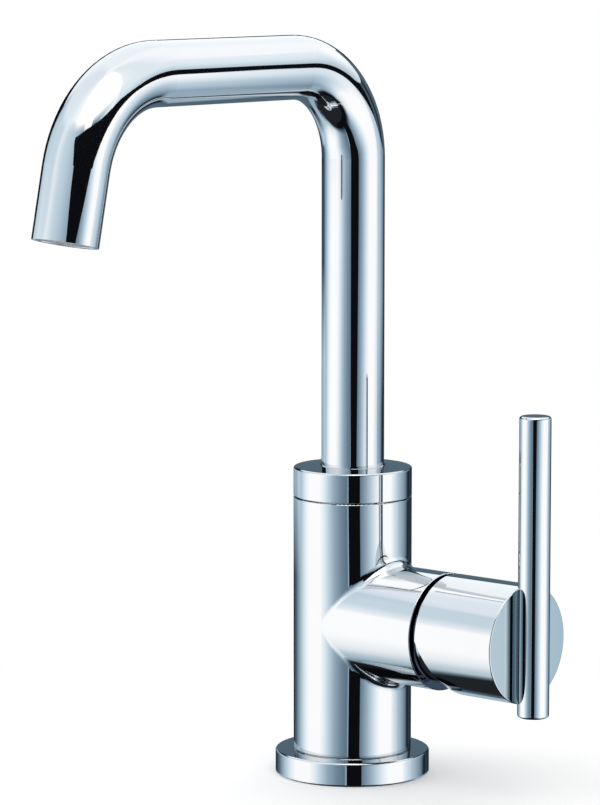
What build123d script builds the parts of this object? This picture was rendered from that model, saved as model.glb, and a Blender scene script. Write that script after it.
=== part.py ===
from build123d import *
import os
from math import asin, cos, degrees, radians, sin, tan

# Single-handle bathroom sink faucet: a column with a side port, a tall square gooseneck
# tube that swivels on the column, and a side hub that carries a straight rod lever.
# Millimetres. The origin is the centre of the base on the deck, +Z is up, the spout
# points to -Y and the handle to +X.

# Column and base
column_dia = 40.4
seam_height = 95.6
seam_gap = 0.3
collar_height = 10.4
flange_height = 8.4
flange_overhang = 6.2
crown_lean = 3.0
spigot_shoulder = 2.5
spigot_clear_of_deck = 1.0
base_recess_wall = 3.5
base_recess_depth = 12.0
gasket_thickness = 1.5
gasket_margin = 2.2

# Water ways of the column
inlet_thread_dia = 10.0
inlet_thread_depth = 10.0
inlet_x = 4.0
inlet_y = 7.2
inlet_bore_dia = 6.0
stud_thread_dia = 8.0
stud_thread_depth = 12.0
stud_x = -8.4
outlet_bore_dia = 8.0
outlet_bore_x = -4.0

# Spout tube, given by its centre line
tube_dia = 21.4
tube_wall = 1.25
arm_height = 242.3
spout_reach = 137.8
back_bend_radius = 31.3
front_bend_radius = 36.2
outlet_lean = 12.4
outlet_run = 23.7

# Spout bearing in the top of the column
bearing_wall = 3.5
glide_thickness = 1.0
adaptor_flange_thickness = 4.4
adaptor_flange_clear = 1.4
adaptor_spigot_length = 11.0
collar_thread_length = 6.7
adaptor_wall = 2.6
adaptor_tube_engagement = 12.0
socket_wall_over_tube = 1.2
o_ring_section = 2.4
o_ring_spacing = 4.6
collar_lip = 1.5
collar_lip_clear = 0.3
bush_wall = 1.4
bush_length = 6.0
swivel_range = 60.0
stop_notch_depth = 2.4
stop_dog_dia = 3.0
stop_screw_dia = 4.0

# Outlet end of the spout
sleeve_wall = 1.2
sleeve_inset = 0.3
sleeve_shoulder = 1.2
shoulder_wall = 1.6
aerator_inset = 1.2
aerator_wall = 1.0
aerator_lip = 0.8
aerator_lip_width = 0.7
aerator_insert_length = 4.6
aerator_screen_thickness = 0.5
flow_regulator_length = 2.4
aerator_washer_thickness = 1.1
outlet_cell = 2.2
outlet_cell_web = 0.5
screen_hole_dia = 1.1
screen_pitch = 1.9
regulator_hole_dia = 1.6
regulator_hole_count = 8

# Side port and handle, along +X at the handle height
port_step = 0.3
handle_height = 53.65
port_reach = 41.6
port_blend_radius = 3.5
port_wall = 4.0
pivot_inset = 3.0
hub_gap = 2.4
hub_length = 31.85
hub_wall = 1.7
hub_rear_lean = 26.0
hub_floor_clear = 1.3
dome_clear = 0.6
dome_wall = 1.4
dome_mouth_dia = 23.0
dome_skirt_wall = 1.35
dome_root = 1.2
tilt_range = 25.0

# Rod lever
rod_dia = 10.6
rod_proud = 2.65
rod_above_axis = 76.3
rod_below_axis = 24.0

# Stem and its screws
stem_width = 7.0
stem_inner_length = 4.0
stem_neck_dia = 4.0
stem_slot_clear = 0.5
stem_ball_dia = 5.2
stem_arm = 8.4
rod_screw_dia = 4.0
rod_screw_head_dia = 6.6
rod_screw_head = 2.4
rod_screw_wall = 3.6
rod_screw_grip = 4.6
screw_head_clear = 0.4
set_screw_dia = 5.0
set_screw_length = 8.0
plug_length = 3.0
hex_socket_depth = 2.0
hex_key_share = 0.5
rod_screw_key = 2.9
rod_screw_socket_depth = 1.0

# Cartridge, sizes along the handle axis are counted back from the pivot
cartridge_depth = 26.0
chamber_step = 1.8
housing_wall = 1.8
neck_step = 2.4
neck_wall = 1.6
nut_length = 3.8
nut_slot_width = 4.0
nut_slot_depth = 1.5
cartridge_base_thickness = 4.0
fixed_disc_thickness = 4.0
moving_disc_thickness = 3.5
carrier_plate = 2.4
carrier_boss_dia = 12.0
carrier_boss_clear = 0.8
guide_flange = 1.7
guide_flange_top = 4.7
housing_roof = 1.2
pivot_pin_dia = 3.0
disc_inlet_dia = 4.4
disc_inlet_y = 4.8
disc_inlet_z = 4.2
disc_outlet_dia = 6.0
disc_outlet_z = -3.2
disc_pocket_dia = 11.2
disc_pocket_z = -2.6
disc_pocket_depth = 1.8
seal_width = 1.3
seal_thickness = 1.0

# Clearances
run_gap = 0.05
slide_gap = 0.15
thread_gap = 0.05
seat_gap = 0.02
ball_gap = 0.15

# Edges
edge_round = 0.8
fine_round = 0.4
seam_round = 0.3
collar_round = 0.6
rod_round = 1.0
same_edge = 0.01

# Sizes that follow from the ones above
column_r = column_dia / 2
flange_r = column_r + flange_overhang
spigot_r = column_r - spigot_shoulder
spigot_bottom = spigot_clear_of_deck
recess_r = spigot_r - base_recess_wall
recess_top = spigot_bottom + base_recess_depth
collar_bottom = seam_height + seam_gap
collar_top = collar_bottom + collar_height
gasket_inner_r = spigot_r + gasket_margin
gasket_outer_r = flange_r - gasket_margin

tube_r = tube_dia / 2
bend_turn = radians(90 - outlet_lean)
arm_run = (spout_reach - back_bend_radius - front_bend_radius * sin(bend_turn)
           - outlet_run * sin(radians(outlet_lean)))
tube_bore_r = tube_r - tube_wall
bearing_r = column_r - bearing_wall
socket_r = tube_r + socket_wall_over_tube
adaptor_flange_r = bearing_r - adaptor_flange_clear
adaptor_bore_r = tube_bore_r - adaptor_wall
stop_notch_r = adaptor_flange_r - stop_notch_depth
bearing_stack = 2 * glide_thickness + 2 * slide_gap + adaptor_flange_thickness
ledge_height = seam_height - bearing_stack - collar_thread_length
adaptor_flange_bottom = ledge_height + glide_thickness + slide_gap
adaptor_flange_top = adaptor_flange_bottom + adaptor_flange_thickness
upper_glide_bottom = adaptor_flange_top + slide_gap
collar_boss_bottom = upper_glide_bottom + glide_thickness
adaptor_bottom = ledge_height - adaptor_spigot_length
socket_bottom = adaptor_bottom - slide_gap
lip_r = tube_r + collar_lip_clear
bush_outer_r = tube_r + bush_wall
bush_top = collar_top - collar_lip
stop_height = adaptor_flange_bottom + adaptor_flange_thickness / 2

barrel_r = column_r - port_step
pivot_x = port_reach - pivot_inset
seat_x = pivot_x - cartridge_depth
port_thread_r = barrel_r - port_wall
chamber_r = port_thread_r - chamber_step
housing_r = chamber_r - slide_gap
cavity_r = housing_r - housing_wall
neck_r = housing_r - neck_step
neck_bore_r = neck_r - neck_wall
hub_rear_x = port_reach + hub_gap
hub_end_x = hub_rear_x + hub_length
hub_bore_r = barrel_r - hub_wall
dome_r = hub_bore_r - dome_clear
hub_floor_x = pivot_x + dome_r + hub_floor_clear
rod_r = rod_dia / 2
rod_x = hub_end_x + rod_proud
rod_groove_x = rod_x - rod_r
stem_socket_end_x = rod_groove_x - rod_screw_wall
stem_end_x = stem_socket_end_x - rod_screw_head - screw_head_clear
set_screw_x = (hub_floor_x + stem_end_x) / 2
ball_x = pivot_x - stem_arm
ball_r = stem_ball_dia / 2
disc_travel = stem_arm * sin(radians(tilt_range))
disc_rest_z = -disc_travel / 2
moving_disc_r = cavity_r - disc_travel / 2 - slide_gap
base_top_x = seat_x + cartridge_base_thickness
fixed_disc_top_x = base_top_x + fixed_disc_thickness
moving_disc_x = fixed_disc_top_x + run_gap
carrier_x = moving_disc_x + moving_disc_thickness
cavity_roof_x = pivot_x - guide_flange_top
guide_flange_x = cavity_roof_x - slide_gap - guide_flange
carrier_top_x = guide_flange_x - carrier_boss_clear
nut_x = cavity_roof_x + housing_roof
dome_skirt_x = nut_x + nut_length + slide_gap
neck_end_x = port_reach - slide_gap
stem_half = stem_width / 2
guide_slot_half = stem_slot_clear + max(
    disc_travel + stem_ball_dia / 2,
    (pivot_x - guide_flange_x) * tan(radians(tilt_range))
    + stem_neck_dia / 2 / cos(radians(tilt_range)),
    stem_inner_length * sin(radians(tilt_range)) + stem_half * cos(radians(tilt_range)),
    (neck_end_x - pivot_x) * tan(radians(tilt_range)) + stem_half / cos(radians(tilt_range)),
)


handle_axis = Axis((0, 0, handle_height), (1, 0, 0))


def handle_plane(x):
    """Plane across the handle axis at x: its own x runs to +Y, its own y to +Z."""
    return Plane(origin=(x, 0, handle_height), x_dir=(0, 1, 0), z_dir=(1, 0, 0))


def ring(plane, outer_r, inner_r, height):
    """Add a plain ring that stands on the plane."""
    with BuildSketch(plane) as profile:
        Circle(outer_r)
        Circle(inner_r, mode=Mode.SUBTRACT)
    extrude(profile.sketch, amount=height)


def disc(plane, radius, height, mode=Mode.ADD):
    """Add or cut a plain cylinder that starts on the plane."""
    with BuildSketch(plane) as profile:
        Circle(radius)
    extrude(profile.sketch, amount=height, mode=mode)


def crown_drop(inner_r, outer_r):
    """How far a crowned top falls between the two radii."""
    return (outer_r - inner_r) * tan(radians(crown_lean))


def crown(inner_r, outer_r, top):
    """Cut a flat top so that it falls away outwards from the inner radius."""
    with BuildSketch(Plane.XZ) as profile:
        Polygon((inner_r, top), (outer_r, top), (outer_r, top - crown_drop(inner_r, outer_r)), align=None)
    revolve(profile.sketch, axis=Axis.Z, mode=Mode.SUBTRACT)


def round_edges_at(builder, z, radius):
    """Edges of the builder that are circles of one radius at one height."""
    circles = builder.edges().filter_by(GeomType.CIRCLE)
    return circles.filter_by(
        lambda e: abs(e.center().Z - z) < same_edge and abs(e.radius - radius) < same_edge
    )


def hex_socket(plane, screw_dia):
    """Cut the hexagon of a grub screw's key into the end that lies on the plane."""
    with BuildSketch(plane) as profile:
        RegularPolygon(screw_dia * hex_key_share / 2, 6, major_radius=False)
    extrude(profile.sketch, amount=-hex_socket_depth, mode=Mode.SUBTRACT)


os.makedirs("parts", exist_ok=True)

# Base flange: the ring that the column stands on
with BuildPart() as base_flange:
    ring(Plane.XY, flange_r, spigot_r + slide_gap, flange_height)
    crown(column_r, flange_r, flange_height)
    flange_rim = flange_height - crown_drop(column_r, flange_r)
    fillet(round_edges_at(base_flange, flange_rim, flange_r), edge_round)
    fillet(round_edges_at(base_flange, 0, flange_r), edge_round)
    with BuildSketch():
        Circle(gasket_outer_r + slide_gap)
        Circle(gasket_inner_r - slide_gap, mode=Mode.SUBTRACT)
    extrude(amount=gasket_thickness, mode=Mode.SUBTRACT)
base_flange.part.label = "base_flange"
export_step(base_flange.part, "parts/base_flange.step")

# Gasket in the groove under the flange
with BuildPart() as base_gasket:
    ring(Plane.XY, gasket_outer_r, gasket_inner_r, gasket_thickness)
base_gasket.part.label = "base_gasket"
export_step(base_gasket.part, "parts/base_gasket.step")

# Valve body: column, side port, spigot, water ways and the seats of all that it carries
with BuildPart() as valve_body:
    disc(Plane.XY.offset(flange_height), column_r, seam_height - flange_height)
    chamfer(round_edges_at(valve_body, flange_height, column_r), fine_round)
    fillet(round_edges_at(valve_body, seam_height, column_r), seam_round)
    disc(handle_plane(0), barrel_r, port_reach)
    crease = valve_body.edges().filter_by(
        lambda e: e.geom_type not in (GeomType.LINE, GeomType.CIRCLE)
    )
    fillet(crease, port_blend_radius)
    port_rim = valve_body.faces().sort_by(Axis.X)[-1].edges()
    fillet(port_rim, fine_round)
    disc(Plane.XY.offset(spigot_bottom), spigot_r, flange_height - spigot_bottom)
    disc(Plane.XY.offset(spigot_bottom), recess_r, base_recess_depth, Mode.SUBTRACT)
    # Threads for the two supply hoses, and the bore above each
    with BuildSketch(Plane.XY.offset(recess_top)):
        with Locations((inlet_x, inlet_y), (inlet_x, -inlet_y)):
            Circle(inlet_thread_dia / 2)
    extrude(amount=inlet_thread_depth, mode=Mode.SUBTRACT)
    with BuildSketch(Plane.XY.offset(recess_top)):
        with Locations((inlet_x, inlet_y), (inlet_x, -inlet_y)):
            Circle(inlet_bore_dia / 2)
    extrude(amount=handle_height + disc_inlet_z - recess_top, mode=Mode.SUBTRACT)
    # Thread for the mounting stud
    with BuildSketch(Plane.XY.offset(recess_top)):
        with Locations((stud_x, 0)):
            Circle(stud_thread_dia / 2)
    extrude(amount=stud_thread_depth, mode=Mode.SUBTRACT)
    # Cross bores from the cartridge seat to the hose bores and to the spout bore
    with BuildSketch(handle_plane(inlet_x)):
        with Locations((disc_inlet_y, disc_inlet_z), (-disc_inlet_y, disc_inlet_z)):
            Circle(disc_inlet_dia / 2)
    extrude(amount=seat_x - inlet_x, mode=Mode.SUBTRACT)
    with BuildSketch(handle_plane(outlet_bore_x)):
        with Locations((0, disc_outlet_z)):
            Circle(disc_outlet_dia / 2)
    extrude(amount=seat_x - outlet_bore_x, mode=Mode.SUBTRACT)
    with BuildSketch(Plane.XY.offset(handle_height + disc_outlet_z)):
        with Locations((outlet_bore_x, 0)):
            Circle(outlet_bore_dia / 2)
    extrude(amount=socket_bottom - handle_height - disc_outlet_z, mode=Mode.SUBTRACT)
    # Chamber of the cartridge and the thread in the mouth of the port
    disc(handle_plane(seat_x), chamber_r, port_reach - seat_x, Mode.SUBTRACT)
    disc(handle_plane(cavity_roof_x), port_thread_r, port_reach - cavity_roof_x, Mode.SUBTRACT)
    # Socket and bearing of the spout
    disc(Plane.XY.offset(socket_bottom), socket_r, seam_height - socket_bottom, Mode.SUBTRACT)
    disc(Plane.XY.offset(ledge_height), bearing_r, seam_height - ledge_height, Mode.SUBTRACT)
    # Thread for the swivel stop, at the back
    disc(Plane.XZ.offset(-column_r).shift_origin((0, column_r, stop_height)),
         stop_screw_dia / 2, column_r - stop_notch_r, Mode.SUBTRACT)
valve_body.part.label = "valve_body"
export_step(valve_body.part, "parts/valve_body.step")

# Glide rings above and below the flange of the spout adaptor
with BuildPart() as lower_glide_ring:
    ring(Plane.XY.offset(ledge_height), bearing_r - slide_gap, socket_r + slide_gap, glide_thickness)
lower_glide_ring.part.label = "lower_glide_ring"
export_step(lower_glide_ring.part, "parts/lower_glide_ring.step")

with BuildPart() as upper_glide_ring:
    ring(Plane.XY.offset(upper_glide_bottom), bearing_r - slide_gap, tube_r + slide_gap, glide_thickness)
upper_glide_ring.part.label = "upper_glide_ring"
export_step(upper_glide_ring.part, "parts/upper_glide_ring.step")

# Spout adaptor: turned foot of the tube, with two ring grooves and the notch of the stop
o_ring_centre_r = socket_r - 2 * run_gap - o_ring_section / 2
groove_r = o_ring_centre_r - o_ring_section / 2 - run_gap
groove_width = o_ring_section + 2 * slide_gap
o_ring_heights = [
    ledge_height - adaptor_spigot_length / 2 - o_ring_spacing / 2,
    ledge_height - adaptor_spigot_length / 2 + o_ring_spacing / 2,
]
stop_half_angle = swivel_range + degrees(asin((stop_dog_dia / 2 + slide_gap) / stop_notch_r))
with BuildPart() as spout_adaptor:
    disc(Plane.XY.offset(adaptor_bottom), socket_r - run_gap, adaptor_flange_bottom - adaptor_bottom)
    chamfer(round_edges_at(spout_adaptor, adaptor_bottom, socket_r - run_gap), fine_round)
    disc(Plane.XY.offset(adaptor_flange_bottom), adaptor_flange_r, adaptor_flange_thickness)
    disc(Plane.XY.offset(adaptor_flange_top), tube_bore_r - seat_gap, adaptor_tube_engagement)
    disc(Plane.XY.offset(adaptor_bottom), adaptor_bore_r,
         adaptor_flange_top + adaptor_tube_engagement - adaptor_bottom, Mode.SUBTRACT)
    for height in o_ring_heights:
        with BuildSketch(Plane.XY.offset(height - groove_width / 2)):
            Circle(socket_r)
            Circle(groove_r, mode=Mode.SUBTRACT)
        extrude(amount=groove_width, mode=Mode.SUBTRACT)
    with BuildSketch(Plane.XY.offset(adaptor_flange_bottom)):
        with BuildLine():
            arc = CenterArc((0, 0), bearing_r, 90 - stop_half_angle, 2 * stop_half_angle)
            Polyline(arc @ 1, (0, 0), arc @ 0)
        make_face()
        Circle(stop_notch_r, mode=Mode.SUBTRACT)
    extrude(amount=adaptor_flange_thickness, mode=Mode.SUBTRACT)
spout_adaptor.part.label = "spout_adaptor"
export_step(spout_adaptor.part, "parts/spout_adaptor.step")

# The two sealing rings of the adaptor
with BuildPart() as spout_o_rings:
    for height in o_ring_heights:
        with BuildSketch(Plane.XZ):
            with Locations((o_ring_centre_r, height)):
                Circle(o_ring_section / 2)
        revolve(axis=Axis.Z)
spout_o_rings.part.label = "spout_o_rings"
export_step(spout_o_rings.part, "parts/spout_o_rings.step")

# Grub screw with a dog point that stops the swivel
with BuildPart() as swivel_stop_screw:
    screw_plane = Plane(origin=(0, column_r - fine_round, stop_height), x_dir=(1, 0, 0), z_dir=(0, 1, 0))
    disc(screw_plane, stop_screw_dia / 2 - thread_gap, -(bearing_wall - fine_round))
    disc(screw_plane, stop_dog_dia / 2, -(column_r - fine_round - stop_notch_r - slide_gap))
    hex_socket(screw_plane, stop_screw_dia)
swivel_stop_screw.part.label = "swivel_stop_screw"
export_step(swivel_stop_screw.part, "parts/swivel_stop_screw.step")

# Collar: the nut that holds the spout down, flush with the column
with BuildPart() as spout_collar:
    disc(Plane.XY.offset(collar_bottom), column_r, collar_height)
    fillet(round_edges_at(spout_collar, collar_bottom, column_r), seam_round)
    crown(lip_r, column_r, collar_top)
    collar_rim = collar_top - crown_drop(lip_r, column_r)
    fillet(round_edges_at(spout_collar, collar_rim, column_r), collar_round)
    disc(Plane.XY.offset(collar_boss_bottom), bearing_r - thread_gap, collar_bottom - collar_boss_bottom)
    disc(Plane.XY.offset(collar_boss_bottom), bush_outer_r + seat_gap,
         bush_top - collar_boss_bottom, Mode.SUBTRACT)
    disc(Plane.XY.offset(collar_boss_bottom), lip_r, collar_top - collar_boss_bottom, Mode.SUBTRACT)
    chamfer(round_edges_at(spout_collar, collar_top, lip_r), fine_round)
spout_collar.part.label = "spout_collar"
export_step(spout_collar.part, "parts/spout_collar.step")

# Plain bush under the lip of the collar, which steadies the tube
with BuildPart() as spout_bush:
    ring(Plane.XY.offset(bush_top - bush_length), bush_outer_r, tube_r + run_gap, bush_length)
spout_bush.part.label = "spout_bush"
export_step(spout_bush.part, "parts/spout_bush.step")

# Spout tube: up, over towards the basin, and down with a slight outward lean
with BuildPart() as spout_tube:
    with BuildLine() as spout_path:
        riser = Line((0, 0, adaptor_flange_top), (0, 0, arm_height - back_bend_radius))
        arm_start = Vector(0, -back_bend_radius, arm_height)
        TangentArc(riser @ 1, arm_start, tangent=riser % 1)
        arm = Line(arm_start, arm_start + Vector(0, -arm_run, 0))
        limb_top = (arm @ 1) + Vector(0, -sin(bend_turn), cos(bend_turn) - 1) * front_bend_radius
        front_bend = TangentArc(arm @ 1, limb_top, tangent=arm % 1)
        limb = Line(limb_top, limb_top + (front_bend % 1) * outlet_run)
    with BuildSketch(Plane.XY.offset(adaptor_flange_top)):
        Circle(tube_r)
        Circle(tube_bore_r, mode=Mode.SUBTRACT)
    sweep(path=spout_path.line)
spout_tube.part.label = "spout_tube"
export_step(spout_tube.part, "parts/spout_tube.step")

# Planes across the tube at a depth above its open end, facing up into the tube
outlet_end = limb @ 1
outlet_direction = limb % 1


def outlet_plane(depth):
    """Plane across the outlet, this far up from the end of the tube."""
    return Plane(outlet_end - outlet_direction * depth, x_dir=(1, 0, 0), z_dir=-outlet_direction)


sleeve_r = tube_bore_r - seat_gap
sleeve_bore_r = tube_bore_r - sleeve_wall
aerator_r = sleeve_bore_r - thread_gap
aerator_bore_r = aerator_r - aerator_wall
insert_r = aerator_bore_r - seat_gap
insert_depth = aerator_inset + aerator_lip
screen_depth = insert_depth + aerator_insert_length
regulator_depth = screen_depth + aerator_screen_thickness
washer_depth = regulator_depth + flow_regulator_length
shoulder_depth = washer_depth + aerator_washer_thickness

# Threaded sleeve brazed into the end of the tube
with BuildPart() as outlet_sleeve:
    ring(outlet_plane(sleeve_inset), sleeve_r, sleeve_bore_r, shoulder_depth - sleeve_inset)
    ring(outlet_plane(shoulder_depth), sleeve_r, sleeve_bore_r - shoulder_wall, sleeve_shoulder)
outlet_sleeve.part.label = "outlet_sleeve"
export_step(outlet_sleeve.part, "parts/outlet_sleeve.step")

# Aerator: threaded housing, honeycomb insert, screen, flow regulator and washer
with BuildPart() as aerator_housing:
    ring(outlet_plane(insert_depth), aerator_r, aerator_bore_r, washer_depth - insert_depth)
    ring(outlet_plane(aerator_inset), aerator_r, aerator_bore_r - aerator_lip_width, aerator_lip)
aerator_housing.part.label = "aerator_housing"
export_step(aerator_housing.part, "parts/aerator_housing.step")

cell_pitch = outlet_cell + outlet_cell_web
cell_count = 2 * int(insert_r / cell_pitch) + 1
with BuildPart() as aerator_insert:
    disc(outlet_plane(insert_depth), insert_r, aerator_insert_length)
    with BuildSketch(outlet_plane(insert_depth)):
        with GridLocations(cell_pitch, cell_pitch, cell_count, cell_count):
            Rectangle(outlet_cell, outlet_cell)
        Circle(insert_r - aerator_lip_width, mode=Mode.INTERSECT)
    extrude(amount=aerator_insert_length, mode=Mode.SUBTRACT)
aerator_insert.part.label = "aerator_insert"
export_step(aerator_insert.part, "parts/aerator_insert.step")

screen_rings = int((insert_r - screen_hole_dia) / screen_pitch)
with BuildPart() as aerator_screen:
    disc(outlet_plane(screen_depth), insert_r, aerator_screen_thickness)
    with BuildSketch(outlet_plane(screen_depth)):
        Circle(screen_hole_dia / 2)
        for turn_number in range(1, screen_rings + 1):
            with PolarLocations(turn_number * screen_pitch, 6 * turn_number):
                Circle(screen_hole_dia / 2)
    extrude(amount=aerator_screen_thickness, mode=Mode.SUBTRACT)
aerator_screen.part.label = "aerator_screen"
export_step(aerator_screen.part, "parts/aerator_screen.step")

with BuildPart() as flow_regulator:
    disc(outlet_plane(regulator_depth), insert_r, flow_regulator_length)
    with BuildSketch(outlet_plane(regulator_depth)):
        with PolarLocations(insert_r - regulator_hole_dia, regulator_hole_count):
            Circle(regulator_hole_dia / 2)
    extrude(amount=flow_regulator_length, mode=Mode.SUBTRACT)
flow_regulator.part.label = "flow_regulator"
export_step(flow_regulator.part, "parts/flow_regulator.step")

with BuildPart() as aerator_washer:
    ring(outlet_plane(washer_depth), aerator_r - slide_gap, sleeve_bore_r - shoulder_wall,
         aerator_washer_thickness)
aerator_washer.part.label = "aerator_washer"
export_step(aerator_washer.part, "parts/aerator_washer.step")

# Ports that the cartridge base and the fixed disc share: centre and radius of each
disc_ports = [
    ((disc_inlet_y, disc_inlet_z), disc_inlet_dia / 2),
    ((-disc_inlet_y, disc_inlet_z), disc_inlet_dia / 2),
    ((0, disc_outlet_z), disc_outlet_dia / 2),
]

# Cartridge base, with a seat for a seal round each port
with BuildPart() as cartridge_base:
    disc(handle_plane(seat_x), housing_r, cartridge_base_thickness)
    for centre, port_r in disc_ports:
        with BuildSketch(handle_plane(seat_x)):
            with Locations(centre):
                Circle(port_r)
        extrude(amount=cartridge_base_thickness, mode=Mode.SUBTRACT)
        with BuildSketch(handle_plane(seat_x)):
            with Locations(centre):
                Circle(port_r + seal_width)
        extrude(amount=seal_thickness, mode=Mode.SUBTRACT)
cartridge_base.part.label = "cartridge_base"
export_step(cartridge_base.part, "parts/cartridge_base.step")

# The three seals in those seats
with BuildPart() as cartridge_seals:
    for centre, port_r in disc_ports:
        with BuildSketch(handle_plane(seat_x)):
            with Locations(centre):
                Circle(port_r + seal_width - seat_gap)
                Circle(port_r, mode=Mode.SUBTRACT)
        extrude(amount=seal_thickness)
cartridge_seals.part.label = "cartridge_seals"
export_step(cartridge_seals.part, "parts/cartridge_seals.step")

# Cartridge housing: cup with a neck, in which the discs slide and the lever guide turns
with BuildPart() as cartridge_housing:
    disc(handle_plane(base_top_x), housing_r, nut_x - base_top_x)
    disc(handle_plane(nut_x), neck_r, neck_end_x - nut_x)
    disc(handle_plane(base_top_x), cavity_r, cavity_roof_x - base_top_x, Mode.SUBTRACT)
    disc(handle_plane(cavity_roof_x), neck_bore_r, neck_end_x - cavity_roof_x, Mode.SUBTRACT)
cartridge_housing.part.label = "cartridge_housing"
export_step(cartridge_housing.part, "parts/cartridge_housing.step")

# Fixed ceramic disc
with BuildPart() as fixed_disc:
    disc(handle_plane(base_top_x), cavity_r - slide_gap, fixed_disc_thickness)
    for centre, port_r in disc_ports:
        with BuildSketch(handle_plane(base_top_x)):
            with Locations(centre):
                Circle(port_r)
        extrude(amount=fixed_disc_thickness, mode=Mode.SUBTRACT)
fixed_disc.part.label = "fixed_disc"
export_step(fixed_disc.part, "parts/fixed_disc.step")

# Moving ceramic disc, which starts low and closes the inlets; its pocket faces the fixed disc
with BuildPart() as moving_disc:
    with BuildSketch(handle_plane(moving_disc_x)):
        with Locations((0, disc_rest_z)):
            Circle(moving_disc_r)
    extrude(amount=moving_disc_thickness)
    with BuildSketch(handle_plane(moving_disc_x)):
        with Locations((0, disc_pocket_z)):
            Circle(disc_pocket_dia / 2)
    extrude(amount=disc_pocket_depth, mode=Mode.SUBTRACT)
moving_disc.part.label = "moving_disc"
export_step(moving_disc.part, "parts/moving_disc.step")

# Carrier on the back of the moving disc, with the socket of the stem's ball
ball_socket_r = ball_r + ball_gap
ball_socket_x = ball_x - ball_socket_r
with BuildPart() as disc_carrier:
    with BuildSketch(handle_plane(carrier_x)):
        with Locations((0, disc_rest_z)):
            Circle(moving_disc_r)
    extrude(amount=carrier_plate)
    disc(handle_plane(carrier_x), carrier_boss_dia / 2, carrier_top_x - carrier_x)
    disc(handle_plane(ball_socket_x), ball_socket_r, carrier_top_x - ball_socket_x, Mode.SUBTRACT)
disc_carrier.part.label = "disc_carrier"
export_step(disc_carrier.part, "parts/disc_carrier.step")

# Lever guide: turns in the neck of the housing and holds the pivot pin
guide_r = neck_bore_r - run_gap
pin_r = pivot_pin_dia / 2
with BuildPart() as lever_guide:
    disc(handle_plane(guide_flange_x), cavity_r - slide_gap, guide_flange)
    disc(handle_plane(guide_flange_x), guide_r, neck_end_x - guide_flange_x)
    with BuildSketch(handle_plane(guide_flange_x)):
        Rectangle(stem_width + 2 * slide_gap, 2 * guide_slot_half)
    extrude(amount=neck_end_x - guide_flange_x, mode=Mode.SUBTRACT)
    with BuildSketch(Plane.XZ.shift_origin((pivot_x, 0, handle_height))):
        Circle(pin_r + seat_gap)
    extrude(amount=guide_r, both=True, mode=Mode.SUBTRACT)
lever_guide.part.label = "lever_guide"
export_step(lever_guide.part, "parts/lever_guide.step")

# Pivot pin across the guide
with BuildPart() as pivot_pin:
    with BuildSketch(Plane.XZ.shift_origin((pivot_x, 0, handle_height))):
        Circle(pin_r)
    extrude(amount=guide_r - fine_round, both=True)
pivot_pin.part.label = "pivot_pin"
export_step(pivot_pin.part, "parts/pivot_pin.step")

# Ring nut that clamps the cartridge
with BuildPart() as cartridge_nut:
    ring(handle_plane(nut_x), port_thread_r - thread_gap, neck_r + slide_gap, nut_length)
    with BuildSketch(handle_plane(nut_x + nut_length)):
        Rectangle(2 * port_thread_r, nut_slot_width)
        Rectangle(nut_slot_width, 2 * port_thread_r)
    extrude(amount=-nut_slot_depth, mode=Mode.SUBTRACT)
cartridge_nut.part.label = "cartridge_nut"
export_step(cartridge_nut.part, "parts/cartridge_nut.step")

# Bonnet: ball-shaped cover over the nut, round the pivot, so that the hub clears it when tilted
with BuildPart() as bonnet_dome:
    with BuildSketch(Plane.XZ.shift_origin((pivot_x, 0, handle_height))):
        Circle(dome_r)
        Circle(dome_r - dome_wall, mode=Mode.SUBTRACT)
        with Locations((pivot_inset, dome_mouth_dia / 2)):
            Rectangle(dome_r, dome_r, align=(Align.MIN, Align.MIN), mode=Mode.INTERSECT)
        with Locations((dome_skirt_x - pivot_x, port_thread_r - dome_skirt_wall)):
            Rectangle(port_reach + dome_root - dome_skirt_x, dome_skirt_wall - thread_gap,
                      align=(Align.MIN, Align.MIN))
    revolve(axis=handle_axis)
bonnet_dome.part.label = "bonnet_dome"
export_step(bonnet_dome.part, "parts/bonnet_dome.step")

# Stem: square bar from the hub to the pivot, then a neck and a ball that pushes the carrier
with BuildPart() as lever_stem:
    with BuildSketch(handle_plane(pivot_x - stem_inner_length)):
        Rectangle(stem_width, stem_width)
    extrude(amount=stem_end_x - pivot_x + stem_inner_length)
    disc(handle_plane(ball_x), stem_neck_dia / 2, stem_arm - stem_inner_length)
    with Locations((ball_x, 0, handle_height)):
        Sphere(ball_r)
    with BuildSketch(Plane.XZ.shift_origin((pivot_x, 0, handle_height))):
        Circle(pin_r + run_gap)
    extrude(amount=stem_width, both=True, mode=Mode.SUBTRACT)
lever_stem.part.label = "lever_stem"
export_step(lever_stem.part, "parts/lever_stem.step")

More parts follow.
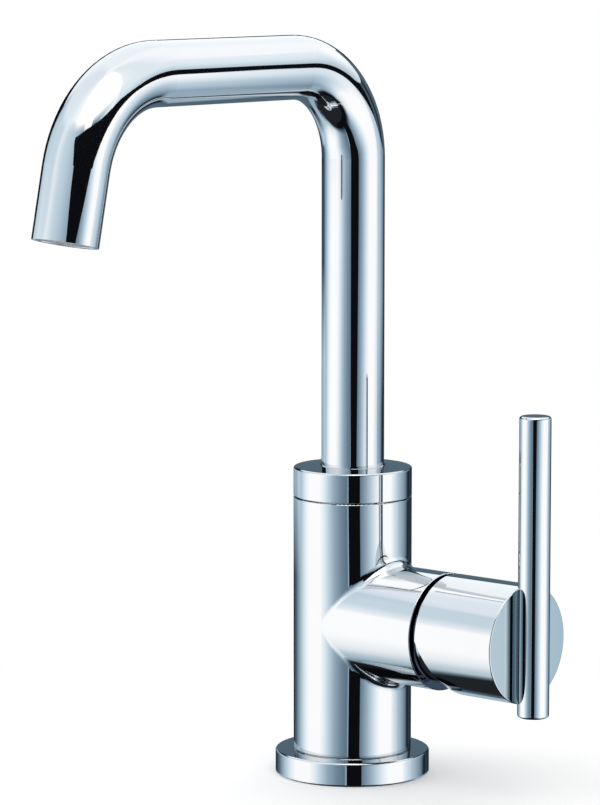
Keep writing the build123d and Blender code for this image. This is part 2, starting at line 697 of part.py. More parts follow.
# Hub: drum with a flat polished end, hollow over the bonnet and cut back below for the tilt
underside_plane = Plane(origin=(set_screw_x, 0, handle_height), x_dir=(1, 0, 0), z_dir=(0, 0, -1))
with BuildPart() as handle_hub:
    disc(handle_plane(hub_rear_x), barrel_r, hub_length)
    fillet(handle_hub.faces().sort_by(Axis.X)[-1].edges(), fine_round)
    with BuildSketch(Plane.XZ.shift_origin((hub_rear_x, 0, handle_height))):
        Polygon((0, 0), (0, -2 * barrel_r), (2 * barrel_r * tan(radians(hub_rear_lean)), -2 * barrel_r),
                align=None)
    extrude(amount=barrel_r, both=True, mode=Mode.SUBTRACT)
    disc(handle_plane(hub_rear_x), hub_bore_r, hub_floor_x - hub_rear_x, Mode.SUBTRACT)
    with BuildSketch(handle_plane(hub_floor_x)):
        Rectangle(stem_width + 2 * seat_gap, stem_width + 2 * seat_gap)
    extrude(amount=stem_socket_end_x - hub_floor_x, mode=Mode.SUBTRACT)
    disc(handle_plane(stem_socket_end_x), rod_screw_dia / 2 + slide_gap, hub_end_x - stem_socket_end_x,
         Mode.SUBTRACT)
    disc(underside_plane, set_screw_dia / 2, barrel_r, Mode.SUBTRACT)
    with Locations((rod_x, 0, handle_height)):
        Cylinder(rod_r + seat_gap, 2 * barrel_r, mode=Mode.SUBTRACT)
handle_hub.part.label = "handle_hub"
export_step(handle_hub.part, "parts/handle_hub.step")

# Grub screw that clamps the hub on the stem, and the plug over it
screw_start = stem_half + seat_gap
with BuildPart() as hub_set_screw:
    disc(underside_plane.offset(screw_start), set_screw_dia / 2 - thread_gap, set_screw_length)
    hex_socket(underside_plane.offset(screw_start + set_screw_length), set_screw_dia)
hub_set_screw.part.label = "hub_set_screw"
export_step(hub_set_screw.part, "parts/hub_set_screw.step")

with BuildPart() as set_screw_plug:
    disc(underside_plane.offset(barrel_r - fine_round - plug_length), set_screw_dia / 2 - thread_gap,
         plug_length)
set_screw_plug.part.label = "set_screw_plug"
export_step(set_screw_plug.part, "parts/set_screw_plug.step")

# Rod lever in the groove across the end of the hub
with BuildPart() as lever_rod:
    with BuildSketch(Plane.XY.offset(handle_height - rod_below_axis)):
        with Locations((rod_x, 0)):
            Circle(rod_r)
    extrude(amount=rod_below_axis + rod_above_axis)
    fillet(lever_rod.edges().filter_by(GeomType.CIRCLE), rod_round)
    disc(handle_plane(rod_groove_x), rod_screw_dia / 2, rod_screw_grip, Mode.SUBTRACT)
lever_rod.part.label = "lever_rod"
export_step(lever_rod.part, "parts/lever_rod.step")

# Screw that holds the rod, from inside the hub
with BuildPart() as rod_screw:
    head_plane = handle_plane(stem_socket_end_x - rod_screw_head)
    disc(head_plane, rod_screw_head_dia / 2, rod_screw_head)
    disc(handle_plane(stem_socket_end_x), rod_screw_dia / 2 - thread_gap,
         rod_screw_wall + rod_screw_grip - slide_gap)
    with BuildSketch(head_plane):
        RegularPolygon(rod_screw_key / 2, 6, major_radius=False)
    extrude(amount=rod_screw_socket_depth, mode=Mode.SUBTRACT)
rod_screw.part.label = "rod_screw"
export_step(rod_screw.part, "parts/rod_screw.step")
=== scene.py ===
"""Looks of a single-handle basin faucet in polished chrome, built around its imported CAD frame.

Metres, +Z up along the column, -Y along the spout towards the basin, +X along the handle hub.
The chrome shows what surrounds it, so the studio is a light tent of soft cards. The cards stand
at fixed places in the room, and only glossy and transmission rays see them.
"""

import math

import bpy
from mathutils import Matrix, Vector


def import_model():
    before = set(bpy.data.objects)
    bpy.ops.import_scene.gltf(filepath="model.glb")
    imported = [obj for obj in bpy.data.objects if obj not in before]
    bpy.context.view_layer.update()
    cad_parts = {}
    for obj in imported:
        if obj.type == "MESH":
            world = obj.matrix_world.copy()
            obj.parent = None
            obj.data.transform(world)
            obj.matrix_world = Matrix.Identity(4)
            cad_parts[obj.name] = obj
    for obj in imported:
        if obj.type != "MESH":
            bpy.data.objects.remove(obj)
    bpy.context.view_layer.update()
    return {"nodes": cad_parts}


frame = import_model()

# camera, fitted to the outline of the faucet in the photograph
photo_height = 805
sensor_long_side = 36.0
focal_pixels = 3817.3
camera_azimuth = 40.57
camera_distance = 1.28775
camera_height = 0.29488
camera_yaw = -0.8
camera_pitch = 7.4
camera_far_limit = 30.0

# floor and lamps
floor_half_size = 6.0
floor_tone = 0.97
floor_white_from = 0.06
floor_white_to = 0.22
world_white = 1.0
world_on_matt = 0.98
lamps = {
    "key": {"place": (-0.7, -0.9, 1.3), "size": 0.9, "power": 4.0},
    "fill": {"place": (1.2, -0.5, 1.0), "size": 0.9, "power": 2.5},
    "back": {"place": (0.1, 1.1, 1.2), "size": 0.8, "power": 1.5},
}

# light tent, in degrees about the column: azimuth from the camera's side, to the right as seen
# in the photograph, and elevation from a centre on the column's axis
tent_radius = 0.42
tent_centre_height = 0.1
ceiling_elevation = 84
floor_elevation = -58
disc_card_sides = 72
card_spacing = 0.0015
card_step = 1.5
card_rows = 40

# turn of the side cards at each elevation, because the tube's reflections lean with height
side_card_turn = [(-8, 0), (8, 8), (14, 8), (26, 0)]

# far cards: their radius, the top of the flag in metres at each azimuth, and the top of the glow
far_radius = 1.06
far_flag_top = [(146, 0.557), (190, 0.557), (200, 0.68), (246, 0.68)]
far_glow_top = 1.5

# chrome, and shade painted on the end faces of the side port and of the hub, each of which lies
# past an X
chrome_tone = (0.62, 0.635, 0.65)
# painted shade: a near-black tone on the port's end face that stands in for the shade in its gap
# to the hub
port_face_painted_shade = (0.05, 0.06, 0.09)
port_face_from = 0.04154
# painted shade: a darker, bluer tone on the hub's end face that dims its reflection
hub_face_painted_shade = (0.48, 0.535, 0.55)
hub_face_from = 0.07584

# tones of the cards as they appear in the chrome, as display values
GLARE = (1.2, 1.2, 1.2)
WHITE = (0.982, 0.986, 0.992)
HAZE = (0.955, 0.967, 0.985)
FROST = (0.915, 0.945, 0.965)
PALE = (0.87, 0.91, 0.94)
PEARL = (0.862, 0.892, 0.932)
CHALK = (0.765, 0.83, 0.875)
COOL = (0.72, 0.795, 0.85)
MIST = (0.57, 0.655, 0.72)
SLATE = (0.43, 0.52, 0.59)
TWILIGHT = (0.36, 0.44, 0.5)
STEEL = (0.29, 0.36, 0.41)
DEEP = (0.17, 0.21, 0.26)
DUSK = (0.11, 0.15, 0.19)
GLOOM = (0.12, 0.135, 0.155)
BLACK = (0.045, 0.05, 0.065)


def linear(value):
    """Linear light of a display value."""
    if value <= 0.04045:
        return value / 12.92
    return ((value + 0.055) / 1.055) ** 2.4


def card_colour(tone):
    """Emission that shows as the tone when the chrome reflects it."""
    return tuple(linear(value) / metal for value, metal in zip(tone, chrome_tone)) + (1.0,)


# node helpers

def new_material(name):
    """An empty node material, its node tree and its output node."""
    material = bpy.data.materials.new(name)
    material.use_nodes = True
    tree = material.node_tree
    tree.nodes.clear()
    output = tree.nodes.new("ShaderNodeOutputMaterial")
    return material, tree, output


def principled(name, roughness, metallic=0.0, specular=0.5):
    """A material with one principled shader, whose varied inputs are linked by the caller."""
    material, tree, output = new_material(name)
    shader = tree.nodes.new("ShaderNodeBsdfPrincipled")
    shader.inputs["Metallic"].default_value = metallic
    shader.inputs["Roughness"].default_value = roughness
    shader.inputs["Specular IOR Level"].default_value = specular
    tree.links.new(shader.outputs["BSDF"], output.inputs["Surface"])
    return material, tree, shader


def object_coordinates(tree, scale=(1.0, 1.0, 1.0)):
    """Object-space coordinates, stretched by scale."""
    coordinates = tree.nodes.new("ShaderNodeTexCoord")
    mapping = tree.nodes.new("ShaderNodeMapping")
    mapping.inputs["Scale"].default_value = scale
    tree.links.new(coordinates.outputs["Object"], mapping.inputs["Vector"])
    return mapping.outputs["Vector"]


def noise(tree, vector, scale, detail=3.0, roughness=0.5):
    """A noise texture's value output."""
    texture = tree.nodes.new("ShaderNodeTexNoise")
    texture.inputs["Scale"].default_value = scale
    texture.inputs["Detail"].default_value = detail
    texture.inputs["Roughness"].default_value = roughness
    tree.links.new(vector, texture.inputs["Vector"])
    return texture.outputs["Fac"]


def ramp(tree, factor, stops):
    """A colour ramp's colour output."""
    node = tree.nodes.new("ShaderNodeValToRGB")
    elements = node.color_ramp.elements
    while len(elements) > 1:
        elements.remove(elements[-1])
    elements[0].position = stops[0][0]
    elements[0].color = stops[0][1]
    for position, colour in stops[1:]:
        elements.new(position).color = colour
    tree.links.new(factor, node.inputs["Fac"])
    return node.outputs["Color"]


def spread(tree, factor, low, high, from_low=0.3, from_high=0.7):
    """A factor mapped onto the range low to high."""
    node = tree.nodes.new("ShaderNodeMapRange")
    node.inputs["From Min"].default_value = from_low
    node.inputs["From Max"].default_value = from_high
    node.inputs["To Min"].default_value = low
    node.inputs["To Max"].default_value = high
    tree.links.new(factor, node.inputs["Value"])
    return node.outputs["Result"]


def calculate(tree, operation, first, second):
    """A math node's value output, from two sockets or from a socket and a number."""
    node = tree.nodes.new("ShaderNodeMath")
    node.operation = operation
    for given, socket in zip((first, second), node.inputs):
        if isinstance(given, float):
            socket.default_value = given
        else:
            tree.links.new(given, socket)
    return node.outputs["Value"]


def bump(tree, height, strength, distance):
    """A bump node's normal output."""
    node = tree.nodes.new("ShaderNodeBump")
    node.inputs["Strength"].default_value = strength
    node.inputs["Distance"].default_value = distance
    tree.links.new(height, node.inputs["Height"])
    return node.outputs["Normal"]


def varied(colour, change):
    """Two stops about a colour, one darker and one lighter by the share change."""
    dark = tuple(value * (1 - change) for value in colour) + (1.0,)
    light = tuple(min(1.0, value * (1 + change)) for value in colour) + (1.0,)
    return [(0.3, dark), (0.7, light)]


# materials

def polished_chrome():
    """Plated chrome: clear mirror with a faint haze from polishing and wiping."""
    material, tree, shader = principled("polished_chrome", 0.03, metallic=1.0)
    vector = object_coordinates(tree)
    haze = noise(tree, vector, scale=38.0, detail=4.0)
    tone = ramp(tree, haze, varied(chrome_tone, change=0.012))
    tree.links.new(tone, shader.inputs["Base Color"])
    wiped = noise(tree, object_coordinates(tree, (1.0, 1.0, 0.15)), scale=900.0, detail=2.0)
    both = calculate(tree, "MULTIPLY", haze, wiped)
    rough = spread(tree, both, low=0.012, high=0.05, from_low=0.1, from_high=0.5)
    tree.links.new(rough, shader.inputs["Roughness"])
    relief = bump(tree, wiped, strength=0.02, distance=0.00002)
    tree.links.new(relief, shader.inputs["Normal"])
    return material


def chrome_with_painted_face(name, face_from, painted_face_shade):
    """Chrome with painted shade, a darker tone, on a flat end face, which lies past face_from
    along +X.
    """
    material = polished_chrome()
    material.name = name
    tree = material.node_tree
    shader = next(node for node in tree.nodes if node.type == "BSDF_PRINCIPLED")
    polished = shader.inputs["Base Color"].links[0].from_socket
    split = tree.nodes.new("ShaderNodeSeparateXYZ")
    tree.links.new(object_coordinates(tree), split.inputs["Vector"])
    # the end face gets the painted shade in place of the chrome's tone
    on_face = calculate(tree, "GREATER_THAN", split.outputs["X"], face_from)
    tone = tree.nodes.new("ShaderNodeMix")
    tone.data_type = "RGBA"
    tone.inputs["B"].default_value = painted_face_shade + (1.0,)
    tree.links.new(on_face, tone.inputs["Factor"])
    tree.links.new(polished, tone.inputs["A"])
    tree.links.new(tone.outputs["Result"], shader.inputs["Base Color"])
    return material


def turned_brass():
    """Machined brass: fine rings from the lathe and a slightly uneven tone."""
    material, tree, shader = principled("turned_brass", 0.28, metallic=1.0)
    vector = object_coordinates(tree)
    patches = noise(tree, vector, scale=60.0)
    tone = ramp(tree, patches, varied((0.78, 0.60, 0.30), change=0.08))
    tree.links.new(tone, shader.inputs["Base Color"])
    rings = noise(tree, object_coordinates(tree, (0.05, 0.05, 1.0)), scale=4200.0, detail=1.0)
    tree.links.new(spread(tree, rings, low=0.2, high=0.36), shader.inputs["Roughness"])
    relief = bump(tree, rings, strength=0.25, distance=0.00005)
    tree.links.new(relief, shader.inputs["Normal"])
    return material


def brushed_steel(name, tone):
    """Steel with a drawn, satin surface."""
    material, tree, shader = principled(name, 0.3, metallic=1.0)
    vector = object_coordinates(tree)
    patches = noise(tree, vector, scale=90.0)
    tree.links.new(ramp(tree, patches, varied(tone, change=0.06)), shader.inputs["Base Color"])
    drawn = noise(tree, object_coordinates(tree, (1.0, 1.0, 0.04)), scale=3000.0, detail=2.0)
    tree.links.new(spread(tree, drawn, low=0.22, high=0.38), shader.inputs["Roughness"])
    relief = bump(tree, drawn, strength=0.2, distance=0.00004)
    tree.links.new(relief, shader.inputs["Normal"])
    return material


def moulded_plastic(name, tone, roughness):
    """Injection-moulded plastic: a fine grain and a slightly uneven gloss."""
    material, tree, shader = principled(name, roughness, specular=0.45)
    vector = object_coordinates(tree)
    cloud = noise(tree, vector, scale=140.0)
    tree.links.new(ramp(tree, cloud, varied(tone, change=0.04)), shader.inputs["Base Color"])
    grain = noise(tree, vector, scale=5200.0, detail=2.0)
    gloss = spread(tree, grain, low=roughness - 0.06, high=roughness + 0.08)
    tree.links.new(gloss, shader.inputs["Roughness"])
    relief = bump(tree, grain, strength=0.15, distance=0.00004)
    tree.links.new(relief, shader.inputs["Normal"])
    return material


def black_rubber(name, tone):
    """Moulded rubber with a dusty bloom."""
    material, tree, shader = principled(name, 0.62, specular=0.35)
    vector = object_coordinates(tree)
    bloom = noise(tree, vector, scale=420.0, detail=5.0, roughness=0.6)
    stops = [(0.35, tone + (1.0,)), (0.75, tuple(value * 1.7 for value in tone) + (1.0,))]
    tree.links.new(ramp(tree, bloom, stops), shader.inputs["Base Color"])
    tree.links.new(spread(tree, bloom, low=0.52, high=0.74), shader.inputs["Roughness"])
    relief = bump(tree, bloom, strength=0.3, distance=0.00006)
    tree.links.new(relief, shader.inputs["Normal"])
    return material


def lapped_ceramic():
    """Alumina lapped nearly to a mirror, with faint grey specks."""
    material, tree, shader = principled("lapped_ceramic", 0.14, specular=0.6)
    vector = object_coordinates(tree)
    specks = noise(tree, vector, scale=2600.0)
    stops = [(0.30, (0.70, 0.70, 0.68, 1.0)), (0.42, (0.90, 0.90, 0.88, 1.0))]
    tree.links.new(ramp(tree, specks, stops), shader.inputs["Base Color"])
    tree.links.new(spread(tree, specks, low=0.1, high=0.18), shader.inputs["Roughness"])
    return material


def finish_nodes():
    """Gives every CAD node the finish of its real part."""
    chrome = polished_chrome()
    # body and hub chrome carry painted shade on their end faces
    body = chrome_with_painted_face("body_chrome", port_face_from, port_face_painted_shade)
    hub = chrome_with_painted_face("hub_chrome", hub_face_from, hub_face_painted_shade)
    brass = turned_brass()
    ceramic = lapped_ceramic()
    steel = brushed_steel("satin_steel", (0.60, 0.61, 0.63))
    dark_steel = brushed_steel("blackened_steel", (0.30, 0.31, 0.33))
    rubber = black_rubber("black_rubber", (0.035, 0.035, 0.036))
    washer = black_rubber("washer_rubber", (0.05, 0.05, 0.05))
    acetal = moulded_plastic("white_acetal", (0.86, 0.86, 0.83), 0.42)
    bush = moulded_plastic("black_acetal", (0.09, 0.09, 0.10), 0.42)
    shell = moulded_plastic("shell_plastic", (0.80, 0.80, 0.77), 0.26)
    carrier = moulded_plastic("blue_plastic", (0.18, 0.33, 0.58), 0.28)
    plug = moulded_plastic("grey_plug_plastic", (0.44, 0.46, 0.48), 0.36)
    outlet = moulded_plastic("outlet_plastic", (0.70, 0.71, 0.72), 0.22)
    regulator = moulded_plastic("regulator_plastic", (0.24, 0.44, 0.29), 0.38)
    finishes = {
        "valve_body": body,
        "base_flange": chrome,
        "spout_collar": chrome,
        "spout_tube": chrome,
        "bonnet_dome": chrome,
        "handle_hub": hub,
        "lever_rod": chrome,
        "spout_adaptor": brass,
        "outlet_sleeve": chrome,
        "cartridge_nut": brass,
        "fixed_disc": ceramic,
        "moving_disc": ceramic,
        "pivot_pin": steel,
        "lever_stem": steel,
        "rod_screw": steel,
        "swivel_stop_screw": steel,
        "aerator_screen": steel,
        "hub_set_screw": dark_steel,
        "base_gasket": rubber,
        "spout_o_rings": rubber,
        "cartridge_seals": rubber,
        "aerator_washer": washer,
        "lower_glide_ring": acetal,
        "upper_glide_ring": acetal,
        "aerator_insert": acetal,
        "spout_bush": bush,
        "cartridge_base": shell,
        "cartridge_housing": shell,
        "lever_guide": shell,
        "disc_carrier": carrier,
        "set_screw_plug": plug,
        "aerator_housing": outlet,
        "flow_regulator": regulator,
    }
    for name, node in frame["nodes"].items():
        for slot in node.material_slots:
            slot.material = finishes[name]


# studio

def link(thing):
    """Puts an object into the scene."""
    bpy.context.scene.collection.objects.link(thing)
    return thing


def room_direction(azimuth):
    """Horizontal unit vector at an azimuth counted from the camera's side, to the right."""
    turned = math.radians(camera_azimuth + azimuth)
    return Vector((math.sin(turned), -math.cos(turned), 0.0))


def tent_height(elevation, radius=tent_radius):
    """Height at which an elevation meets a card of a radius."""
    return tent_centre_height + radius * math.tan(math.radians(elevation))


def between(table, position):
    """Linear interpolation of a sorted table of (position, value, value ...)."""
    if position <= table[0][0]:
        return table[0][1:]
    for before, after in zip(table, table[1:]):
        if position <= after[0]:
            share = (position - before[0]) / (after[0] - before[0])
            return tuple(x + (y - x) * share for x, y in zip(before[1:], after[1:]))
    return table[-1][1:]


def card_material(name, tones, lower_tones, fade):
    """Emission by place on the card.

    tones are stops across it and lower_tones shades from its foot up. fade has stops "across"
    and "rise" of how much of the card shows.
    """
    material, tree, output = new_material(name)
    coordinates = tree.nodes.new("ShaderNodeTexCoord")
    split = tree.nodes.new("ShaderNodeSeparateXYZ")
    tree.links.new(coordinates.outputs["UV"], split.inputs["Vector"])
    across, rise = split.outputs["X"], split.outputs["Y"]
    colour = ramp(tree, across, [(place, card_colour(tone)) for place, tone in tones])
    if lower_tones:
        foot = ramp(tree, rise, lower_tones)
        shade = tree.nodes.new("ShaderNodeMix")
        shade.data_type = "RGBA"
        shade.blend_type = "MULTIPLY"
        shade.inputs["Factor"].default_value = 1.0
        tree.links.new(colour, shade.inputs["A"])
        tree.links.new(foot, shade.inputs["B"])
        colour = shade.outputs["Result"]
    glow = tree.nodes.new("ShaderNodeEmission")
    tree.links.new(colour, glow.inputs["Color"])
    surface = glow.outputs["Emission"]
    if fade:
        clear = tree.nodes.new("ShaderNodeBsdfTransparent")
        mix = tree.nodes.new("ShaderNodeMixShader")
        shown = None
        for source, stops in ((across, fade.get("across")), (rise, fade.get("rise"))):
            if not stops:
                continue
            level = ramp(tree, source, [(place, (v, v, v, 1.0)) for place, v in stops])
            shown = level if shown is None else calculate(tree, "MULTIPLY", shown, level)
        tree.links.new(shown, mix.inputs["Fac"])
        tree.links.new(clear.outputs["BSDF"], mix.inputs[1])
        tree.links.new(surface, mix.inputs[2])
        surface = mix.outputs["Shader"]
    tree.links.new(surface, output.inputs["Surface"])
    return material


def glossy_only(thing):
    """Leaves a card in sight of glossy and transmission rays alone."""
    thing.visible_camera = False
    thing.visible_diffuse = False
    thing.visible_shadow = False
    thing.visible_volume_scatter = False


def card(name, edge, tones, layer=0, lower_tones=None, fade=None, turn=((0, 0),),
         radius=tent_radius):
    """A curved card of the tent.

    edge is a list of (azimuth, lowest, highest elevation) and turn a list of (elevation,
    azimuth by which the card is turned there). A higher layer stands further inside.
    """
    first, last = edge[0][0], edge[-1][0]
    columns = int((last - first) / card_step)
    rows = card_rows
    radius -= layer * card_spacing
    points, faces, corners = [], [], []
    for i in range(columns + 1):
        across = i / columns
        azimuth = first + (last - first) * across
        low, high = between(edge, azimuth)
        for j in range(rows + 1):
            rise = j / rows
            elevation = low + (high - low) * rise
            place = room_direction(azimuth + between(turn, elevation)[0]) * radius
            place.z = tent_height(elevation, radius)
            points.append(place)
            corners.append((across, rise))
    for i in range(columns):
        for j in range(rows):
            a = i * (rows + 1) + j
            faces.append((a, a + rows + 1, a + rows + 2, a + 1))
    mesh = bpy.data.meshes.new(name)
    mesh.from_pydata(points, [], faces)
    layer_uv = mesh.uv_layers.new(name="UVMap")
    for loop in mesh.loops:
        layer_uv.data[loop.index].uv = corners[loop.vertex_index]
    thing = link(bpy.data.objects.new(name, mesh))
    mesh.materials.append(card_material(name, tones, lower_tones, fade))
    glossy_only(thing)
    return thing


def disc_card(name, elevation, tone):
    """A round card that closes the tent above or below."""
    turns = [360 * i / disc_card_sides for i in range(disc_card_sides)]
    points = [room_direction(azimuth) * tent_radius for azimuth in turns]
    for point in points:
        point.z = tent_height(elevation)
    mesh = bpy.data.meshes.new(name)
    mesh.from_pydata(points, [], [tuple(range(disc_card_sides))])
    mesh.uv_layers.new(name="UVMap")
    thing = link(bpy.data.objects.new(name, mesh))
    mesh.materials.append(card_material(name, [(0.0, tone)], None, None))
    glossy_only(thing)
    return thing


def across_stops(edge, stops):
    """Stops given as azimuths, turned into places across the card."""
    first, last = edge[0][0], edge[-1][0]
    return [((azimuth - first) / (last - first), value) for azimuth, value in stops]


def side_cards():
    """Bright cards to the left and right that shade off towards the camera and the rear."""
    towards_foot = [
        (0.0, (0.25, 0.32, 0.35, 1.0)), (0.056, (0.3, 0.38, 0.42, 1.0)),
        (0.084, (0.46, 0.56, 0.61, 1.0)), (0.121, (0.54, 0.63, 0.67, 1.0)),
        (0.159, (0.7, 0.75, 0.79, 1.0)), (0.196, (0.81, 0.86, 0.89, 1.0)),
        (0.243, (0.885, 0.91, 0.93, 1.0)), (0.3, (0.96, 0.97, 0.98, 1.0)),
        (0.36, (1.0, 1.0, 1.0, 1.0))]
    left = [(-140, -60, 12), (-120, -60, 12), (-114, -60, 47), (-5, -60, 47)]
    card("left_side_card", left, across_stops(left, [
        (-140, STEEL), (-132, SLATE), (-124, MIST), (-114, COOL), (-104, PALE), (-92, WHITE),
        (-66, WHITE), (-55, PALE), (-46, COOL), (-36, MIST), (-22, SLATE), (-11, TWILIGHT),
        (-9, MIST), (-5, MIST)]),
        lower_tones=towards_foot, turn=side_card_turn)
    right = [(12, -60, 47), (140, -60, 47)]
    card("right_side_card", right, across_stops(right, [
        (12, TWILIGHT), (17, SLATE), (26, MIST), (35, COOL), (44, PALE), (54, WHITE), (78, WHITE),
        (84.5, PALE), (95, COOL), (109, MIST), (121, SLATE), (127, STEEL), (132, DUSK),
        (140, DUSK)]),
        lower_tones=towards_foot, turn=side_card_turn)


def middle_cards():
    """Lighter cards at the rear on both sides, at the height of the faucet's middle."""
    left = [(-165, -14, 5), (-118, -14, 5)]
    card("left_middle_card", left, across_stops(left, [
        (-165, SLATE), (-150, MIST), (-138, MIST), (-127, COOL), (-118, PALE)]), layer=1,
        fade={"rise": [(0.0, 0.0), (0.3, 1.0), (0.7, 1.0), (1.0, 0.0)],
              "across": [(0.0, 0.0), (0.1, 1.0), (0.8, 1.0), (1.0, 0.0)]})
    right = [(96, -4, 24), (146, -4, 24)]
    card("right_middle_card", right, across_stops(right, [
        (96, CHALK), (110, COOL), (122, MIST), (136, SLATE), (142, STEEL), (146, DEEP)]), layer=1,
        fade={"rise": [(0.0, 0.0), (0.25, 1.0), (0.8, 1.0), (1.0, 0.0)],
              "across": [(0.0, 0.0), (0.15, 1.0), (1.0, 1.0)]})


def upper_cards():
    """Paler cards above the side ones, up to the tent's ceiling."""
    left = [(-118, 2, 47), (-8, 2, 47)]
    card("upper_left_card", left, across_stops(left, [
        (-118, MIST), (-108, COOL), (-100, COOL), (-88, CHALK), (-70, CHALK), (-60, PALE),
        (-46, CHALK), (-34, COOL), (-8, MIST)]), layer=1,
        fade={"rise": [(0.0, 0.0), (0.156, 0.0), (0.2, 0.15), (0.267, 0.45),
                       (0.356, 0.66), (0.42, 0.81), (0.49, 0.96), (0.556, 1.0), (0.84, 1.0),
                       (0.93, 0.5), (1.0, 0.0)]})
    right = [(52, 25, 47), (150, 25, 47)]
    card("upper_right_card", right, across_stops(right, [
        (52, PALE), (110, PALE), (128, WHITE), (150, WHITE)]), layer=1,
        lower_tones=[(0.0, (0.6, 0.66, 0.7, 1.0)), (0.18, (0.66, 0.72, 0.76, 1.0)),
                     (0.364, (0.8, 0.86, 0.88, 1.0)), (0.545, (0.93, 0.97, 0.98, 1.0)),
                     (0.7, (1.0, 1.0, 1.0, 1.0))])
    high = [(-180, 40, 84), (180, 40, 84)]
    card("high_card", high, across_stops(high, [
        (-180, FROST), (-152, FROST), (-135, FROST), (-115, PEARL), (-85, PEARL), (-62, PALE),
        (-50, FROST), (-38, HAZE), (-26, GLARE), (40, GLARE), (52, FROST), (66, PALE),
        (80, PALE), (92, FROST), (108, HAZE), (140, HAZE), (160, FROST), (180, FROST)]),
        layer=1,
        fade={"rise": [(0.0, 0.0), (0.15, 1.0), (1.0, 1.0)]})
    disc_card("ceiling_card", ceiling_elevation, HAZE)


def dark_cards():
    """Black gap at the camera, the seam above it, and the dark foot and floor of the tent."""
    gap = [(-8, -60, 20), (13, -60, 20), (13.5, -8, 20), (20, 8, 20)]
    card("camera_gap", gap, [(0.0, BLACK)], layer=2)
    seam = [(-24, 36, 38), (-14, 24, 39), (0, 17.5, 40), (20, 17.5, 39), (40, 18.5, 36),
            (60, 22, 33), (75, 23, 27.5), (84, 21.5, 28), (92, 22.5, 28), (103, 19, 25.5),
            (110, 17.6, 24.5), (122, 15, 26.5), (138, 13, 29.5), (143, 12.5, 31),
            (149, 12, 34.5), (155, 14, 37), (162, 20, 34)]
    card("front_seam", seam, across_stops(seam, [
        (-24, BLACK), (116, BLACK), (120, STEEL), (125, STEEL), (129, BLACK), (133, DUSK),
        (142, STEEL), (162, STEEL)]), layer=3)
    foot = [(-180, -61, -48), (-130, -61, -52), (-90, -61, -52), (-60, -61, -43),
            (-40, -61, -36), (-20, -61, -30), (13, -61, -28), (30, -61, -32), (50, -61, -40),
            (75, -61, -48), (100, -61, -44), (112, -61, -38), (130, -61, -41), (180, -61, -48)]
    card("foot_card", foot, across_stops(foot, [
        (-60, GLOOM), (-30, BLACK), (110, BLACK), (150, GLOOM)]), layer=4,
         fade={"rise": [(0.0, 1.0), (0.55, 1.0), (1.0, 0.0)]})
    disc_card("floor_card", floor_elevation, GLOOM)


def rear_cards():
    """Dark flag behind the faucet, a glow above it, a paler band at its foot, and a lining."""
    rear = [(138, -60, 30), (155, -60, 34), (165, -60, 24), (180, -60, 22), (190, -60, 15),
            (205, -60, 9), (222, -60, 12)]
    card("rear_card", rear, across_stops(rear, [
        (138, DEEP), (146, DEEP), (152, DUSK), (160, DUSK), (167, STEEL), (194, STEEL),
        (203, DUSK), (209, DUSK), (215, STEEL), (222, STEEL)]), layer=-2)
    glow = [(148, 28, 47), (160, 26, 47), (164, 36, 47), (242, 36, 47)]
    card("rear_glow", glow, across_stops(glow, [
        (148, PALE), (160, FROST), (200, FROST), (242, PALE)]), layer=-1)
    foot = [(100, -47, -26), (260, -47, -26)]
    card("rear_foot_card", foot, across_stops(foot, [
        (100, MIST), (150, MIST), (200, MIST), (260, COOL)]), layer=2,
         fade={"rise": [(0.0, 0.0), (0.12, 1.0), (0.7, 1.0), (1.0, 0.0)],
               "across": [(0.0, 0.0), (0.08, 1.0), (0.92, 1.0), (1.0, 0.0)]})
    lining = [(-118, -60, 47), (158, -60, 47)]
    card("tent_lining", lining, [(0.0, FROST)], layer=-3,
         lower_tones=[(0.0, (0.02, 0.025, 0.03, 1.0)), (0.6, (0.02, 0.025, 0.03, 1.0)),
                      (0.7, (1.0, 1.0, 1.0, 1.0))])


def far_elevation(height):
    """Elevation at which a height stands on the far cards."""
    return math.degrees(math.atan2(height - tent_centre_height, far_radius))


def far_cards():
    """A dark flag and a glow well behind the tent, seen through the gap between the rear cards."""
    flag, glow = [], []
    for azimuth, height in far_flag_top:
        flag.append((azimuth, far_elevation(0.0), far_elevation(height)))
        glow.append((azimuth, far_elevation(height), far_elevation(far_glow_top)))
    card("far_flag", flag, [(0.0, BLACK)], radius=far_radius)
    card("far_glow", glow, [(0.0, FROST)], radius=far_radius)


def light_tent():
    """The cards around the faucet, which its chrome shows."""
    far_cards()
    side_cards()
    middle_cards()
    upper_cards()
    dark_cards()
    rear_cards()


def seen_as_background(tree):
    """1 for the rays that see the background itself: camera, glossy and transmission rays."""
    path = tree.nodes.new("ShaderNodeLightPath")
    total = path.outputs["Is Camera Ray"]
    for name in ("Is Glossy Ray", "Is Transmission Ray"):
        total = calculate(tree, "MAXIMUM", total, path.outputs[name])
    return total


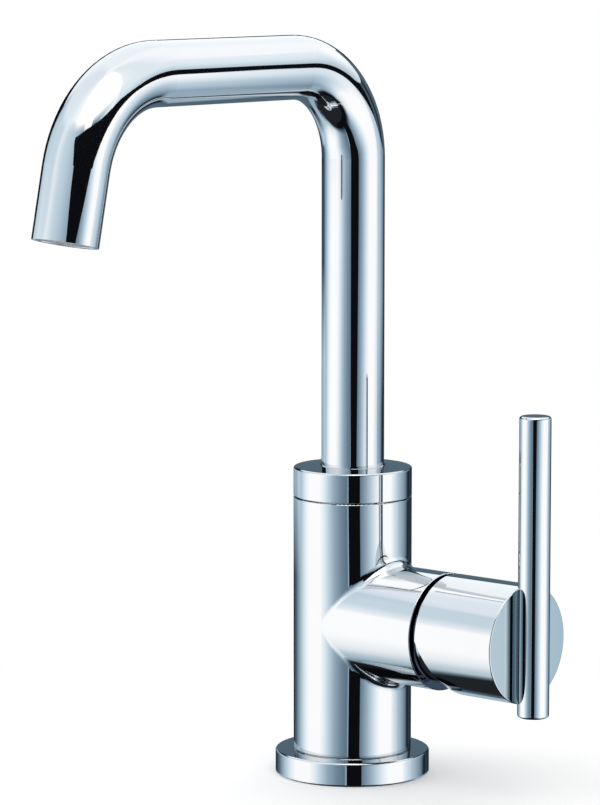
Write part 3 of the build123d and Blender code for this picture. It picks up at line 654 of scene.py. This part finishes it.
def floor():
    """A plain pale floor, matt near the faucet for its shadow and plain white further out."""
    half = floor_half_size
    mesh = bpy.data.meshes.new("floor")
    mesh.from_pydata([(-half, -half, 0), (half, -half, 0), (half, half, 0), (-half, half, 0)],
                     [], [(0, 1, 2, 3)])
    thing = link(bpy.data.objects.new("floor", mesh))
    material, tree, output = new_material("pale_floor")
    matt = tree.nodes.new("ShaderNodeBsdfDiffuse")
    matt.inputs["Color"].default_value = (floor_tone, floor_tone, floor_tone, 1.0)
    plain = tree.nodes.new("ShaderNodeEmission")
    plain.inputs["Strength"].default_value = world_white
    geometry = tree.nodes.new("ShaderNodeNewGeometry")
    distance = tree.nodes.new("ShaderNodeVectorMath")
    distance.operation = "LENGTH"
    tree.links.new(geometry.outputs["Position"], distance.inputs[0])
    outward = spread(tree, distance.outputs["Value"], 0.0, 1.0, floor_white_from, floor_white_to)
    share = calculate(tree, "MULTIPLY", outward, seen_as_background(tree))
    mix = tree.nodes.new("ShaderNodeMixShader")
    tree.links.new(share, mix.inputs["Fac"])
    tree.links.new(matt.outputs["BSDF"], mix.inputs[1])
    tree.links.new(plain.outputs["Emission"], mix.inputs[2])
    tree.links.new(mix.outputs["Shader"], output.inputs["Surface"])
    mesh.materials.append(material)
    thing.visible_glossy = False


def world():
    """White where it is seen, and a plain soft light on matt surfaces."""
    room = bpy.data.worlds.new("studio")
    room.use_nodes = True
    tree = room.node_tree
    tree.nodes.clear()
    output = tree.nodes.new("ShaderNodeOutputWorld")
    light = tree.nodes.new("ShaderNodeBackground")
    light.inputs["Color"].default_value = (1.0, 1.0, 1.0, 1.0)
    strength = spread(tree, seen_as_background(tree), world_on_matt, world_white, 0.0, 1.0)
    tree.links.new(strength, light.inputs["Strength"])
    tree.links.new(light.outputs["Background"], output.inputs["Surface"])
    bpy.context.scene.world = room


def lamp(name, place, size, power):
    """A square soft lamp that faces the faucet and isn't seen in the chrome."""
    light = bpy.data.lights.new(name, "AREA")
    light.shape = "SQUARE"
    light.size = size
    light.energy = power
    thing = link(bpy.data.objects.new(name, light))
    thing.location = place
    aim = Vector((0.0, 0.0, tent_centre_height)) - Vector(place)
    thing.rotation_euler = aim.to_track_quat("-Z", "Y").to_euler()
    thing.visible_glossy = False
    thing.visible_camera = False


def camera():
    """The camera at the photograph's place and angle."""
    data = bpy.data.cameras.new("camera")
    data.lens = focal_pixels / photo_height * sensor_long_side
    data.sensor_width = sensor_long_side
    data.clip_end = camera_far_limit
    thing = link(bpy.data.objects.new("camera", data))
    side = room_direction(0.0)
    right = Vector((-side.y, side.x, 0.0))
    yaw, pitch = math.radians(camera_yaw), math.radians(camera_pitch)
    level = right * math.sin(yaw) - side * math.cos(yaw)
    forward = level * math.cos(pitch) - Vector((0.0, 0.0, math.sin(pitch)))
    across = forward.cross(Vector((0.0, 0.0, 1.0))).normalized()
    up = across.cross(forward)
    turn = Matrix((across, up, -forward)).transposed().to_4x4()
    place = side * camera_distance + Vector((0.0, 0.0, camera_height))
    thing.matrix_world = Matrix.Translation(place) @ turn
    bpy.context.scene.camera = thing


finish_nodes()
camera()
floor()
world()
light_tent()
for lamp_name, facts in lamps.items():
    lamp(lamp_name, **facts)
bpy.context.scene.view_settings.view_transform = "Standard"
